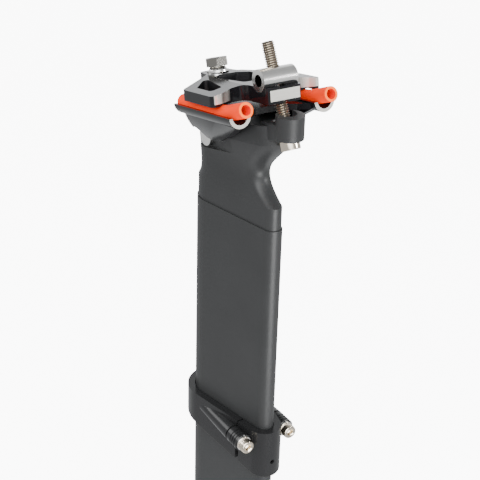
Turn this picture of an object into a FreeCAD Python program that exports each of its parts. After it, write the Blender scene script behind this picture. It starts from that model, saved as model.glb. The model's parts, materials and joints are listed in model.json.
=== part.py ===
import FreeCAD, Part
import Sketcher
from FreeCAD import Placement, Rotation, Vector

import math
import os

# Suspension seatpost with an aero section, a two-bolt saddle clamp and a two-piece frame collar.
# X points to the front of the bicycle, Y to its left and Z up the post.
# The origin is on the post's axis, where the post enters the seat tube.

SIZES = {
    # teardrop section of the post: a nose circle and a tail circle joined by tangents
    "nose_radius": 13.0,
    "nose_centre": 17.3,
    "tail_radius": 4.75,
    "tail_centre": 26.0,
    # lower sleeve
    "insertion": 92.0,
    "seam_height": 130.5,
    "sleeve_wall": 2.0,
    "mouth_lip": 0.45,
    # sliding fit and travel
    "travel": 10.0,
    "running_gap": 0.1,
    "skirt_gap": 0.1,
    "skirt_rise": 11.0,
    "skirt_drop": 4.0,
    "bushing_wall": 1.2,
    "bushing_height": 12.0,
    "seal_height": 3.0,
    "seal_room": 1.0,
    "slider_reach": 105.5,
    "slider_wall": 1.6,
    "lower_bushing_base": 30.0,
    # spring pack
    "base_top": 8.0,
    "base_height": 14.0,
    "bump_height": 4.5,
    "bump_radius": 2.2,
    "screw_radius": 6.9,
    "screw_drop": 2.0,
    "screw_rise": 3.0,
    "seat_height": 2.0,
    "spring_length": 82.0,
    "spring_wire": 2.0,
    "spring_turns": 15.0,
    "spring_gap": 0.8,
    "rod_radius": 3.0,
    "rod_thread": 14.0,
    "topout_height": 4.0,
    "topout_washer": 1.2,
    "rod_nut_width": 10.0,
    "rod_nut_height": 5.0,
    "rod_tail": 2.0,
    # neck between the skirt and the head
    "shoulder_height": 15.5,
    "shoulder_inset": 2.4,
    "shoulder_rear": 22.9,
    "shoulder_thin": 1.1,
    "shoulder_tail": 5.0,
    "waist_height": 23.0,
    "waist_inset": 1.8,
    "waist_rear": 17.5,
    "waist_thin": 1.4,
    "waist_tail": 6.2,
    "flare_height": 31.0,
    "flare_inset": 0.5,
    "flare_rear": 21.5,
    "flare_thin": 0.9,
    "flare_tail": 7.4,
    # head, measured in the clamp frame that is pitched nose down at the seam
    "clamp_pitch": 10.0,
    "head_base": 37.0,
    "head_top": 46.0,
    "head_front": 24.5,
    "head_rear": 39.0,
    "head_nose": 12.3,
    "head_tail": 9.0,
    "cheek_half": 9.0,
    "cheek_rear": 10.5,
    "cheek_base": 29.5,
    "side_gap": 0.5,
    # rear boss of the head
    "boss_back": 36.3,
    "boss_radius": 6.5,
    "boss_base": 47.9,
    "boss_top": 58.6,
    "web_half": 6.3,
    "web_top": 47.5,
    "web_rise": 3.0,
    "web_reach": 7.0,
    # clamp pivot, which is the front barrel nut
    "pivot_ahead": 10.0,
    "pivot_height": 35.5,
    "barrel_radius": 5.0,
    "front_barrel_half": 11.8,
    # saddle rails and the cradle under them
    "rail_spacing": 44.0,
    "rail_height": 53.5,
    "rail_radius": 3.5,
    "rail_bore": 2.3,
    "rail_gap": 0.25,
    "trough_wall": 1.6,
    # cradle web at three levels: under the trough, halfway and at the barrel nut
    "gusset_out": 1.4,
    "gusset_bend": 23.0,
    "gusset_end": 2.0,
    "gusset_mid_height": 43.5,
    "gusset_mid_out": 19.4,
    "gusset_mid_bulge": 20.6,
    "gusset_mid_tail": 17.2,
    "gusset_mid_in": 13.0,
    "gusset_mid_bend": 13.0,
    "gusset_mid_rear": 25.0,
    "gusset_low_ahead": 4.5,
    "gusset_low_play": 0.4,
    "gusset_low_bend": 1.5,
    "gusset_low_bulge": 14.6,
    "gusset_low_rear": 6.5,
    "gusset_low_tail": 13.4,
    "trough_front": 9.0,
    "trough_rear": 40.5,
    "bridge_base": 49.6,
    "bridge_height": 2.8,
    "bridge_front": 19.0,
    "bridge_rear": 27.0,
    "bridge_nose": 7.0,
    "bridge_tail": 6.0,
    "trough_cut": 0.3,
    "hose_front": 9.0,
    "hose_rear": 45.0,
    "hose_bend": 29.0,
    "hose_rise": 13.0,
    # yoke over the rails
    "yoke_base": 56.5,
    "yoke_top": 63.5,
    "wing_half": 28.5,
    "wing_front": 3.0,
    "wing_rear": 29.5,
    "wing_slope": 6.5,
    "wing_crest": 10.0,
    "wing_tip": 5.5,
    "wing_chamfer": 1.5,
    "wing_root": 24.5,
    "wing_root_out": 16.0,
    "wing_root_in": 11.0,
    "boss_front": 20.2,
    "boss_nose": 6.6,
    "boss_half": 8.2,
    "block_front": 28.0,
    "block_half": 9.0,
    "block_rear": 43.0,
    "yoke_corner": 2.2,
    "window_ahead": 4.5,
    "window_in": 12.5,
    "window_out": 23.7,
    "window_bend": 7.5,
    "window_rear": 20.0,
    "window_tail": 18.4,
    "window_tail_in": 17.2,
    "window_corner": 1.6,
    "opening_ahead": 5.4,
    "opening_nose": 4.8,
    "opening_bend": 0.5,
    "opening_half": 9.6,
    "opening_rear": 20.0,
    "opening_tail": 6.4,
    "opening_corner": 2.0,
    # clamp bolts and their nuts
    "bolt_radius": 2.95,
    "bolt_play": 0.1,
    "front_lean": 8.0,
    "front_grip": 28.0,
    "front_tail": 6.0,
    "hex_width": 10.0,
    "hex_height": 4.2,
    "cone_radius": 4.6,
    "cone_height": 1.7,
    "dish_radius": 5.2,
    "dish_height": 1.0,
    "nut_back": 35.5,
    "nut_height": 66.2,
    "nut_half": 8.8,
    "nut_bore": 2.7,
    "nut_bore_depth": 5.0,
    "rear_lean": 17.0,
    "rear_grip": 27.5,
    "rear_tail": 16.0,
    "cap_radius": 4.5,
    "cap_height": 4.6,
    "cap_key": 2.3,
    "ball_radius": 4.6,
    "slot_half": 3.7,
    "front_swing": 2.6,
    "cradle_swing": 0.4,
    "yoke_swing": 0.3,
    "rear_swing": 0.9,
    "mouth_swing": 3.2,
    "mouth_room": 0.6,
    "spot_room": 0.2,
    # frame collar
    "collar_gap": 0.3,
    "collar_wall": 3.7,
    "collar_top": 20.5,
    "collar_slope": 10.0,
    "collar_split": 17.5,
    "collar_slot": 0.9,
    "notch_width": 2.4,
    "notch_top": 10.5,
    "lug_out": 12.6,
    "lug_height": 13.8,
    "lug_radius": 4.6,
    "lug_rear": 26.6,
    "lug_front": 14.0,
    "lug_tip": 3.4,
    "lug_groove": 0.3,
    "groove_start": 1.2,
    "groove_width": 0.8,
    "groove_step": 1.8,
    "small_bolt_radius": 1.95,
    "small_bolt_length": 22.0,
    "small_head_radius": 3.5,
    "small_head_height": 4.0,
    "small_key": 1.7,
    "washer_radius": 3.9,
    "washer_height": 0.9,
    "washer_room": 0.3,
    "cord_hole": 1.2,
    "cord_hole_height": 2.5,
}

doc = FreeCAD.newDocument("seatpost")
sheet = doc.addObject("Spreadsheet::Sheet", "sizes")


def fill_sheet():
    for row, (name, number) in enumerate(SIZES.items(), start=1):
        sheet.set("A%d" % row, name)
        sheet.set("B%d" % row, str(number))
        sheet.setAlias("B%d" % row, name)
    doc.recompute()


def formula(text):
    """Turn size names in a formula into references to the sheet."""
    words = []
    word = ""
    for letter in str(text) + " ":
        if letter.isalnum() or letter in "_.":
            word += letter
            continue
        words.append("sizes." + word if word in SIZES else word)
        words.append(letter)
        word = ""
    return "".join(words).strip()


def number(text):
    result = sheet.evalExpression(formula(text))
    return float(getattr(result, "Value", result))


def bind(thing, prop, text):
    thing.setExpression(prop, formula(text))


def place(thing, x="0", y="0", z="0", turn=None, angle="0"):
    """Bind where a piece sits; turn is the axis of its rotation."""
    spin = Rotation(turn, number(angle)) if turn else Rotation()
    thing.Placement = Placement(Vector(number(x), number(y), number(z)), spin)
    for axis, text in (("x", x), ("y", y), ("z", z)):
        bind(thing, "Placement.Base." + axis, text)
    if turn and number(angle) and not is_plain(angle):
        bind(thing, "Placement.Rotation.Angle", angle)
    return thing


def is_plain(text):
    return formula(text) == str(text)


AXIS_X = Vector(1, 0, 0)
AXIS_Y = Vector(0, 1, 0)
AXIS_Z = Vector(0, 0, 1)


def into_clamp(thing):
    """Move a piece built in clamp coordinates onto the post."""
    return place(thing, z="seam_height", turn=AXIS_Y, angle="clamp_pitch")


def box(name, x, y, z, length, width, height):
    piece = doc.addObject("Part::Box", name)
    bind(piece, "Length", length)
    bind(piece, "Width", width)
    bind(piece, "Height", height)
    return place(piece, x, y, z)


def cylinder(name, radius, height, x="0", y="0", z="0", turn=None, angle="0"):
    piece = doc.addObject("Part::Cylinder", name)
    bind(piece, "Radius", radius)
    bind(piece, "Height", height)
    return place(piece, x, y, z, turn, angle)


def cone(name, radius, far_radius, height, x="0", y="0", z="0", turn=None, angle="0"):
    piece = doc.addObject("Part::Cone", name)
    bind(piece, "Radius1", radius)
    bind(piece, "Radius2", far_radius)
    bind(piece, "Height", height)
    return place(piece, x, y, z, turn, angle)


def hexagon(name, width, height, x="0", y="0", z="0"):
    piece = doc.addObject("Part::Prism", name)
    piece.Polygon = 6
    bind(piece, "Circumradius", "(%s) / 2 / cos(30)" % width)
    bind(piece, "Height", height)
    return place(piece, x, y, z)


def fuse(name, *pieces):
    joined = doc.addObject("Part::MultiFuse", name)
    joined.Shapes = list(pieces)
    joined.Refine = True
    return joined


def cut(name, base, *tools):
    carved = doc.addObject("Part::Cut", name)
    carved.Base = base
    carved.Tool = tools[0] if len(tools) == 1 else fuse(name + "_tools", *tools)
    carved.Refine = True
    return carved


def common(name, first, second):
    shared = doc.addObject("Part::Common", name)
    shared.Base = first
    shared.Tool = second
    return shared


def extrude(name, sketch, up, down="0"):
    solid = doc.addObject("Part::Extrusion", name)
    solid.Base = sketch
    solid.DirMode = "Normal"
    solid.Solid = True
    bind(solid, "LengthFwd", up)
    bind(solid, "LengthRev", down)
    return solid


def mirror(name, piece):
    """Copy a piece to the other side of the post's middle plane."""
    other = doc.addObject("Part::Mirroring", name)
    other.Source = piece
    other.Base = Vector(0, 0, 0)
    other.Normal = AXIS_Y
    return other


def finish(piece, label):
    piece.Label = label
    return piece


def polygon(name, corners, lift="0"):
    """Closed sketch through corners, whose coordinates are formulas."""
    sketch = doc.addObject("Sketcher::SketchObject", name)
    points = [Vector(number(x), number(y), 0) for x, y in corners]
    count = len(points)
    for index in range(count):
        sketch.addGeometry(Part.LineSegment(points[index], points[(index + 1) % count]), False)
    for index, (x, y) in enumerate(corners):
        bind_point(sketch, index, 1, x, y)
        sketch.addConstraint(Sketcher.Constraint("Coincident", index, 2, (index + 1) % count, 1))
    return place(sketch, z=lift)


def bind_point(sketch, edge, end, x, y):
    for kind, text in (("DistanceX", x), ("DistanceY", y)):
        index = sketch.addConstraint(Sketcher.Constraint(kind, -1, 1, edge, end, number(text)))
        bind(sketch, "Constraints[%d]" % index, text)


def egg(name, front, rear, nose, tail, lift, turn=None, angle="0"):
    """Teardrop sketch from front to rear, round at both ends, with radii nose and tail."""
    ahead = "(%s) - (%s)" % (front, nose)
    behind = "(%s) + (%s)" % (rear, tail)
    nose_x, tail_x = number(ahead), number(behind)
    nose_r, tail_r = number(nose), number(tail)
    lean = math.pi / 2 + math.asin((nose_r - tail_r) / (nose_x - tail_x))
    sketch = doc.addObject("Sketcher::SketchObject", name)
    big = Part.Circle(Vector(nose_x, 0, 0), AXIS_Z, nose_r)
    small = Part.Circle(Vector(tail_x, 0, 0), AXIS_Z, tail_r)
    sketch.addGeometry(Part.ArcOfCircle(big, -lean, lean), False)
    sketch.addGeometry(Part.ArcOfCircle(small, lean, 2 * math.pi - lean), False)
    upper = [circle.value(lean) for circle in (big, small)]
    lower = [circle.value(-lean) for circle in (small, big)]
    sketch.addGeometry(Part.LineSegment(*upper), False)
    sketch.addGeometry(Part.LineSegment(*lower), False)
    for joint in ((0, 2, 2, 1), (2, 2, 1, 1), (1, 2, 3, 1), (3, 2, 0, 1)):
        sketch.addConstraint(Sketcher.Constraint("Tangent", *joint))
    for arc, x, radius in ((0, ahead, nose), (1, behind, tail)):
        bind_point(sketch, arc, 3, x, "0")
        index = sketch.addConstraint(Sketcher.Constraint("Radius", arc, number(radius)))
        bind(sketch, "Constraints[%d]" % index, radius)
    return place(sketch, z=lift, turn=turn, angle=angle)


def drop(name, inset, base, height):
    """Solid with the post's section, moved inward by inset."""
    front = "nose_centre + nose_radius - (%s)" % inset
    rear = "0 - tail_centre - tail_radius + (%s)" % inset
    nose = "nose_radius - (%s)" % inset
    tail = "tail_radius - (%s)" % inset
    return extrude(name, egg(name + "_sketch", front, rear, nose, tail, base), height)


SLIDER_INSET = "sleeve_wall + bushing_wall + running_gap"
SKIRT_INSET = "mouth_lip + skirt_gap"
MOUTH_DEPTH = "(skirt_drop + travel + seal_room + seal_height)"
SLIDER_BASE = "seam_height - slider_reach"
BORE_RADIUS = "(nose_radius - (%s) - slider_wall)" % SLIDER_INSET
SPRING_RADIUS = "(%s - spring_gap)" % BORE_RADIUS
SPRING_BASE = "(base_top + screw_rise + seat_height)"
SPRING_TOP = "(%s + spring_length)" % SPRING_BASE
SCREW_BASE = "(base_top - base_height - screw_drop)"


def build_lower_sleeve():
    outer = drop("sleeve_outer", "0", "0 - insertion", "insertion + seam_height")
    inner = drop("sleeve_bore", "sleeve_wall", "-1 - insertion", "insertion + seam_height + 2")
    mouth = drop("sleeve_mouth", "mouth_lip", "seam_height - " + MOUTH_DEPTH, MOUTH_DEPTH + " + 1")
    return finish(cut("sleeve", outer, inner, mouth), "lower_sleeve")


def build_bushing(label, base):
    outer = drop(label + "_outer", "sleeve_wall", base, "bushing_height")
    inner = drop(label + "_inner", "sleeve_wall + bushing_wall", base + " - 1", "bushing_height + 2")
    return finish(cut(label + "_ring", outer, inner), label)


def build_dust_seal():
    base = "seam_height - " + MOUTH_DEPTH
    outer = drop("seal_outer", "mouth_lip", base, "seal_height")
    inner = drop("seal_inner", "sleeve_wall + bushing_wall", base + " - 1", "seal_height + 2")
    return finish(cut("seal_ring", outer, inner), "dust_seal")


def build_spring_base():
    plug = drop("base_plug", "sleeve_wall", "base_top - base_height", "base_height")
    hole = cylinder("base_thread", "screw_radius", "base_height + 2", "nose_centre", "0",
                    "base_top - base_height - 1")
    return finish(cut("base", plug, hole), "spring_base")


def build_bump_stop():
    pads = [cylinder("bump_pad_%d" % index, radius, "bump_height", x, "0", "base_top")
            for index, (x, radius) in enumerate((("0", "bump_radius * 1.6"), ("-9", "bump_radius * 1.3"),
                                                 ("-17", "bump_radius")))]
    web = box("bump_web", "-17", "0 - bump_radius / 2", "base_top", "17", "bump_radius", "bump_height / 2")
    return finish(fuse("bump", web, *pads), "bump_stop")


def build_preload_screw():
    height = "base_height + screw_drop + screw_rise"
    shank = cylinder("screw_shank", "screw_radius", height, "nose_centre", "0", SCREW_BASE)
    bore = cylinder("screw_bore", "rod_radius + running_gap", height + " + 2", "nose_centre", "0",
                    SCREW_BASE + " - 1")
    return finish(cut("screw", shank, bore), "preload_screw")


def build_spring_seat(label, base):
    disc = cylinder(label + "_disc", SPRING_RADIUS, "seat_height", "nose_centre", "0", base)
    bore = cylinder(label + "_bore", "rod_radius + running_gap", "seat_height + 2", "nose_centre", "0",
                    base + " - 1")
    return finish(cut(label + "_ring", disc, bore), label)


def build_main_spring():
    coil = doc.addObject("Part::Helix", "spring_helix")
    bind(coil, "Radius", SPRING_RADIUS + " - spring_wire / 2")
    bind(coil, "Height", "spring_length - spring_wire")
    bind(coil, "Pitch", "(spring_length - spring_wire) / spring_turns")
    wire = doc.addObject("Part::Circle", "spring_section")
    bind(wire, "Radius", "spring_wire / 2")
    place(wire, x=SPRING_RADIUS + " - spring_wire / 2", turn=AXIS_X, angle="90")
    doc.recompute()
    sweep = doc.addObject("Part::Sweep", "spring_sweep")
    sweep.Sections = [wire]
    sweep.Spine = (coil, ["Edge1"])
    sweep.Solid = True
    sweep.Frenet = True
    place(sweep, "nose_centre", "0", SPRING_BASE + " + spring_wire / 2")
    return finish(sweep, "main_spring")


def build_guide_rod():
    bottom = SCREW_BASE + " - topout_height - topout_washer - rod_nut_height - rod_tail"
    top = SPRING_TOP + " + seat_height + rod_thread"
    rod = cylinder("rod", "rod_radius", "(%s) - (%s)" % (top, bottom), "nose_centre", "0", bottom)
    return finish(rod, "guide_rod")


def build_rod_ring(label, radius, base, height):
    disc = cylinder(label + "_disc", radius, height, "nose_centre", "0", base)
    bore = cylinder(label + "_bore", "rod_radius", height + " + 2", "nose_centre", "0", base + " - 1")
    return finish(cut(label + "_ring", disc, bore), label)


def build_rod_nut():
    base = SCREW_BASE + " - topout_height - topout_washer - rod_nut_height"
    nut = hexagon("rod_nut_hex", "rod_nut_width", "rod_nut_height", "nose_centre", "0", base)
    bore = cylinder("rod_nut_bore", "rod_radius", "rod_nut_height + 2", "nose_centre", "0", base + " - 1")
    return finish(cut("rod_nut_body", nut, bore), "rod_nut")


def build_head():
    """Head block and its rear web, in clamp coordinates."""
    plan = egg("head_plan", "head_front", "0 - head_rear", "head_nose", "head_tail", "head_base")
    block = extrude("head_block", plan, "head_top - head_base")
    web = box("head_web", "0 - head_rear - boss_radius", "0 - web_half", "head_base + web_rise",
              "boss_radius + web_reach", "2 * web_half", "web_top - head_base - web_rise")
    return into_clamp(fuse("head_solid", block, web))


def build_neck():
    skirt = egg("neck_skirt", "nose_centre + nose_radius - (%s)" % SKIRT_INSET,
                "0 - tail_centre - tail_radius + " + SKIRT_INSET,
                "nose_radius - (%s)" % SKIRT_INSET, "tail_radius - (%s)" % SKIRT_INSET,
                "seam_height + skirt_rise")
    rings = [skirt]
    for level in ("shoulder", "waist", "flare"):
        rings.append(egg("neck_" + level, "nose_centre + nose_radius - %s_inset" % level,
                         "0 - %s_rear" % level, "nose_radius - %s_thin" % level, level + "_tail",
                         "seam_height + %s_height" % level))
    lift = "seam_height + head_base * cos(clamp_pitch)"
    top = egg("neck_top", "head_front", "0 - head_rear", "head_nose", "head_tail", lift,
              AXIS_Y, "clamp_pitch")
    bind(top, "Placement.Base.x", "head_base * sin(clamp_pitch)")
    rings.append(top)
    loft = doc.addObject("Part::Loft", "neck")
    loft.Sections = rings
    loft.Solid = True
    return loft


def bolt_slot(name, x, z, lean, half, play, up, down):
    """Slot for a leaning bolt: a box with two round ends, along the bolt."""
    ends = [cylinder("%s_end_%d" % (name, side), half, "(%s) + (%s)" % (up, down),
                     "%d * (%s)" % (side, play), "0", "0 - (%s)" % down) for side in (-1, 1)]
    middle = box(name + "_box", "0 - (%s)" % play, "0 - (%s)" % half, "0 - (%s)" % down,
                 "2 * (%s)" % play, "2 * (%s)" % half, "(%s) + (%s)" % (up, down))
    return place(fuse(name, middle, *ends), x, "0", z, AXIS_Y, lean)


def front_bolt_slot(name, half, play, up, down):
    return bolt_slot(name, "pivot_ahead", "pivot_height", "front_lean", half, play, up, down)


def rear_bolt_slot(name, half, play, down):
    return bolt_slot(name, "0 - nut_back", "nut_height", "rear_lean", half, play, "4", down)


def build_upper_mast():
    slider = drop("slider", SLIDER_INSET, SLIDER_BASE, "slider_reach - skirt_drop + 1")
    skirt = drop("skirt", SKIRT_INSET, "seam_height - skirt_drop", "skirt_drop + skirt_rise")
    boss = cylinder("rear_boss", "boss_radius", "boss_top - boss_base", "0 - boss_back", "0",
                    "seam_height + boss_base")
    solid = fuse("mast_solid", slider, skirt, build_neck(), build_head(), boss)

    spring_room = "%s + seat_height - (%s) + 1" % (SPRING_TOP, SLIDER_BASE)
    spring_bore = cylinder("spring_bore", BORE_RADIUS, spring_room, "nose_centre", "0", SLIDER_BASE + " - 1")
    rod_hole = cylinder("rod_hole", "rod_radius", "seat_height + rod_thread + 1", "nose_centre", "0",
                        SPRING_TOP)
    pivot_bore = cylinder("pivot_bore", "barrel_radius + running_gap", "60", "pivot_ahead", "30",
                          "pivot_height", AXIS_X, "90")
    cheeks = [box("cheek_%s" % side, "0 - cheek_rear", start, "cheek_base", "cheek_rear + 30", "20",
                  "head_top - cheek_base + 1")
              for side, start in (("left", "cheek_half"), ("right", "-20 - cheek_half"))]
    front_slot = front_bolt_slot("front_slot", "slot_half", "front_swing", "20", "9")
    rear_slot = rear_bolt_slot("rear_slot", "slot_half", "rear_swing", "rear_grip + 12")
    mouth = rear_bolt_slot("rear_mouth", "slot_half + mouth_room", "mouth_swing", "rear_grip - 9")
    socket = sphere("ball_socket", "ball_radius + running_gap", "0 - rear_grip")
    socket_mouth = cylinder("ball_mouth", "ball_radius + running_gap", "cap_height", "0", "0",
                            "0 - rear_grip - cap_height")
    ball_seat = on_rear_bolt(fuse("ball_seat", socket, socket_mouth))
    clamp_cuts = into_clamp(fuse("clamp_cuts", pivot_bore, front_slot, rear_slot, mouth, *cheeks))
    return finish(cut("mast", solid, spring_bore, rod_hole, clamp_cuts, ball_seat), "upper_mast")


def rail_rod(name, radius, front, rear, side):
    """Round bar along one rail, in clamp coordinates."""
    return cylinder(name, radius, "(%s) + (%s)" % (front, rear), "0 - (%s)" % rear,
                    "%d * rail_spacing / 2" % side, "rail_height", AXIS_Y, "90")


def build_gusset():
    """Left web of the cradle, from the trough down to its seat on the barrel nut."""
    inner = "rail_spacing / 2 - rail_radius - rail_gap - trough_wall / 2"
    outer = "rail_spacing / 2 + gusset_out"
    top = polygon("gusset_top", [
        ("trough_front - 1", outer),
        ("0 - gusset_bend", outer),
        ("gusset_end - trough_rear", "rail_spacing / 2"),
        ("gusset_end - trough_rear", inner),
        ("trough_front - 1", inner),
    ], "bridge_base + 1")
    middle = polygon("gusset_middle", [
        ("pivot_ahead + 1", "gusset_mid_out"),
        ("0 - gusset_mid_bend", "gusset_mid_bulge"),
        ("0 - gusset_mid_rear", "gusset_mid_tail"),
        ("0 - gusset_mid_rear", "gusset_mid_in"),
        ("pivot_ahead + 1", "gusset_mid_in"),
    ], "gusset_mid_height")
    low = polygon("gusset_low", [
        ("pivot_ahead + gusset_low_ahead", "front_barrel_half + gusset_low_play"),
        ("0 - gusset_low_bend", "gusset_low_bulge"),
        ("0 - gusset_low_rear", "gusset_low_tail"),
        ("0 - gusset_low_rear", "cheek_half"),
        ("pivot_ahead + gusset_low_ahead", "cheek_half"),
    ], "pivot_height")
    loft = doc.addObject("Part::Loft", "gusset")
    loft.Sections = [top, middle, low]
    loft.Solid = True
    return loft


def both_sides(left):
    """Corners of an outline that is the same on both sides, from those on the left."""
    return left + [(x, "0 - (%s)" % y) for x, y in reversed(left)]


def build_cradle():
    troughs = [rail_rod("trough_%d" % side, "rail_radius + rail_gap + trough_wall", "trough_front",
                        "trough_rear", side) for side in (-1, 1)]
    half = "rail_spacing / 2 - rail_radius"
    left = [("bridge_front", "bridge_nose"), ("trough_front", half), ("3 - trough_rear", half),
            ("0 - bridge_rear", "bridge_tail")]
    bridge_plan = polygon("bridge_plan", both_sides(left), "bridge_base")
    bridge = extrude("bridge", bridge_plan, "bridge_height")
    gusset = build_gusset()
    solid = fuse("cradle_solid", bridge, gusset, mirror("gusset_right", gusset), *troughs)

    above = box("cradle_above", "-60", "-40", "rail_height - trough_cut", "120", "80", "20")
    grooves = [rail_rod("groove_%d" % side, "rail_radius + rail_gap", "trough_front + 1",
                        "trough_rear + 1", side) for side in (-1, 1)]
    seat = cylinder("barrel_seat", "barrel_radius", "60", "pivot_ahead", "30", "pivot_height", AXIS_X, "90")
    hole = front_bolt_slot("bridge_hole", "slot_half", "cradle_swing", "24", "0")
    cheeks = box("cheek_room", "0 - cheek_rear", "0 - cheek_half - side_gap", "20", "cheek_rear + 30",
                 "2 * (cheek_half + side_gap)", "bridge_base - 20")
    room_plan = egg("head_room_plan", "head_front - 6", "0 - head_rear - 30", "head_nose",
                    "head_tail + side_gap", "20")
    room = extrude("head_room", room_plan, "bridge_base - 20")
    return finish(into_clamp(cut("cradle_body", solid, above, seat, hole, cheeks, room, *grooves)),
                  "cradle")


def rounded(name, solid, radius, picks):
    """Round the edges that picks accepts."""
    doc.recompute()
    round_over = doc.addObject("Part::Fillet", name)
    round_over.Base = solid
    edges = [index for index, edge in enumerate(solid.Shape.Edges, start=1) if picks(edge)]
    round_over.Edges = [(index, number(radius), number(radius)) for index in edges]
    return round_over


def is_upright(edge):
    ends = edge.Vertexes
    if len(ends) != 2:
        return False
    run = ends[0].Point - ends[1].Point
    return run.Length > 2 and abs(run.z) > 0.999 * run.Length


def build_yoke():
    left = [
        ("boss_front", "boss_nose"),
        ("wing_crest", "boss_half"),
        ("0 - wing_front", "wing_half"),
        ("0 - wing_rear", "wing_half"),
        ("wing_chamfer - wing_rear", "wing_half - wing_tip"),
        ("0 - wing_root", "wing_root_out"),
        ("0 - wing_root", "wing_root_in"),
        ("0 - block_front", "block_half"),
        ("0 - block_rear", "block_half"),
    ]
    plan = polygon("yoke_plan", both_sides(left), "yoke_base")
    slab = extrude("yoke_slab", plan, "yoke_top - yoke_base")
    body = rounded("yoke_rounded", slab, "yoke_corner", is_upright)

    window = polygon("window_plan", [
        ("window_ahead", "window_in"),
        ("0 - window_bend", "window_out"),
        ("0 - window_rear", "window_out"),
        ("0 - window_tail", "window_tail_in"),
    ], "yoke_base - 5")
    window_cut = rounded("window_rounded", extrude("window_cut", window, "20"), "window_corner", is_upright)
    half_opening = [("opening_ahead", "opening_nose"), ("opening_bend", "opening_half"),
                    ("0 - opening_rear", "opening_tail")]
    opening = polygon("opening_plan", both_sides(half_opening), "yoke_base - 5")
    opening_cut = rounded("opening_rounded", extrude("opening_cut", opening, "20"), "opening_corner",
                          is_upright)
    slope = place(box("slope", "0", "0", "0", "120", "40", "20"), "-70", "wing_crest", "yoke_top",
                  AXIS_X, "0 - wing_slope")
    grooves = [rail_rod("yoke_groove_%d" % side, "rail_radius + rail_gap", "20", "50", side)
               for side in (-1, 1)]
    nut_seat = cylinder("nut_seat", "barrel_radius + running_gap", "2 * nut_half + 20", "0 - nut_back",
                        "nut_half + 10", "nut_height", AXIS_X, "90")
    front_hole = front_bolt_slot("yoke_front_hole", "slot_half", "yoke_swing", "40", "0")
    rear_hole = rear_bolt_slot("yoke_rear_hole", "slot_half", "rear_swing", "20")
    spot_face = front_bolt_slot("yoke_spot_face", "dish_radius + spot_room", "0.01", "front_grip + 12",
                                "0 - front_grip")
    carved = cut("yoke_body", body, window_cut, mirror("window_right", window_cut), opening_cut, slope,
                 mirror("slope_right", slope), nut_seat, front_hole, rear_hole, spot_face, *grooves)
    return finish(into_clamp(carved), "yoke")


def hose_run(name, radius, spare, side):
    """Bar that lies along the rail and kinks upward behind the wing; spare lengthens both ends."""
    out = "%d * rail_spacing / 2" % side
    front = cylinder(name + "_front", radius, "hose_front + hose_bend + " + spare, "0 - hose_bend", out,
                     "rail_height", AXIS_Y, "90")
    rear = cylinder(name + "_rear", radius, "(hose_rear - hose_bend) / cos(hose_rise) + " + spare,
                    "0 - hose_bend", out, "rail_height", AXIS_Y, "hose_rise - 90")
    knee = doc.addObject("Part::Sphere", name + "_knee")
    bind(knee, "Radius", radius)
    place(knee, "0 - hose_bend", out, "rail_height")
    return fuse(name, front, rear, knee)


def build_hose(label, side):
    outer = hose_run(label + "_outer", "rail_radius", "0", side)
    bore = hose_run(label + "_bore", "rail_bore", "1", side)
    return finish(into_clamp(cut(label + "_tube", outer, bore)), label)


def on_bolt(thing, x, z, lean):
    """Stand a piece built along Z on a point of the clamp frame, leaning forward."""
    return place(thing, "(%s) * cos(clamp_pitch) + (%s) * sin(clamp_pitch)" % (x, z), "0",
                 "seam_height - (%s) * sin(clamp_pitch) + (%s) * cos(clamp_pitch)" % (x, z),
                 AXIS_Y, "clamp_pitch + %s" % lean)


def on_front_bolt(thing):
    return on_bolt(thing, "pivot_ahead", "pivot_height", "front_lean")


def on_rear_bolt(thing):
    return on_bolt(thing, "0 - nut_back", "nut_height", "rear_lean")


def cross_bar(name, radius, half):
    return cylinder(name, radius, "2 * (%s)" % half, "0", half, "0", AXIS_X, "90")


def build_front_barrel_nut():
    bar = cross_bar("front_bar", "barrel_radius", "front_barrel_half")
    thread = cylinder("front_thread", "bolt_radius", "4 * barrel_radius", "0", "0", "-2 * barrel_radius")
    return finish(on_front_bolt(cut("front_nut", bar, thread)), "front_barrel_nut")


def build_front_clamp_bolt():
    base = "front_grip + cone_height + dish_height"
    shank = cylinder("front_shank", "bolt_radius", base + " + front_tail", "0", "0", "0 - front_tail")
    head = hexagon("front_hex", "hex_width", "hex_height", "0", "0", base)
    chamfer = cone("front_hex_trim", "0.5 * hex_width + 2.4", "0.5 * hex_width - 0.1", "hex_height",
                   "0", "0", base)
    return finish(on_front_bolt(fuse("front_bolt", shank, common("front_hex_head", head, chamfer))),
                  "front_clamp_bolt")


def build_front_washer(label, base, low, high, height):
    """Turned washer around the front bolt."""
    ring = cone(label + "_ring", low, high, height, "0", "0", base)
    bore = cylinder(label + "_hole", "bolt_radius", height + " + 2", "0", "0", base + " - 1")
    return finish(on_front_bolt(cut(label + "_body", ring, bore)), label)


def build_rear_barrel_nut():
    bar = cross_bar("rear_bar", "barrel_radius", "nut_half")
    thread = cylinder("rear_thread", "bolt_radius + bolt_play", "4 * barrel_radius", "0", "0",
                      "-2 * barrel_radius")
    ends = [cylinder("nut_end_%d" % side, "nut_bore", "nut_bore_depth + 1", "0",
                     "%d * (nut_half + 1)" % side, "0", AXIS_X, "%d * 90" % side) for side in (-1, 1)]
    return finish(on_rear_bolt(cut("rear_nut", bar, thread, *ends)), "rear_barrel_nut")


def build_rear_clamp_bolt():
    bottom = "0 - rear_grip - cap_height"
    shank = cylinder("rear_shank", "bolt_radius", "rear_grip + rear_tail", "0", "0", "0 - rear_grip")
    head = cylinder("rear_cap", "cap_radius", "cap_height", "0", "0", bottom)
    key = hexagon("rear_key", "2 * cap_key", "cap_height * 0.6 + 1", "0", "0", bottom + " - 1")
    solid = fuse("rear_bolt_solid", shank, head)
    return finish(on_rear_bolt(cut("rear_bolt", solid, key)), "rear_clamp_bolt")


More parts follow.
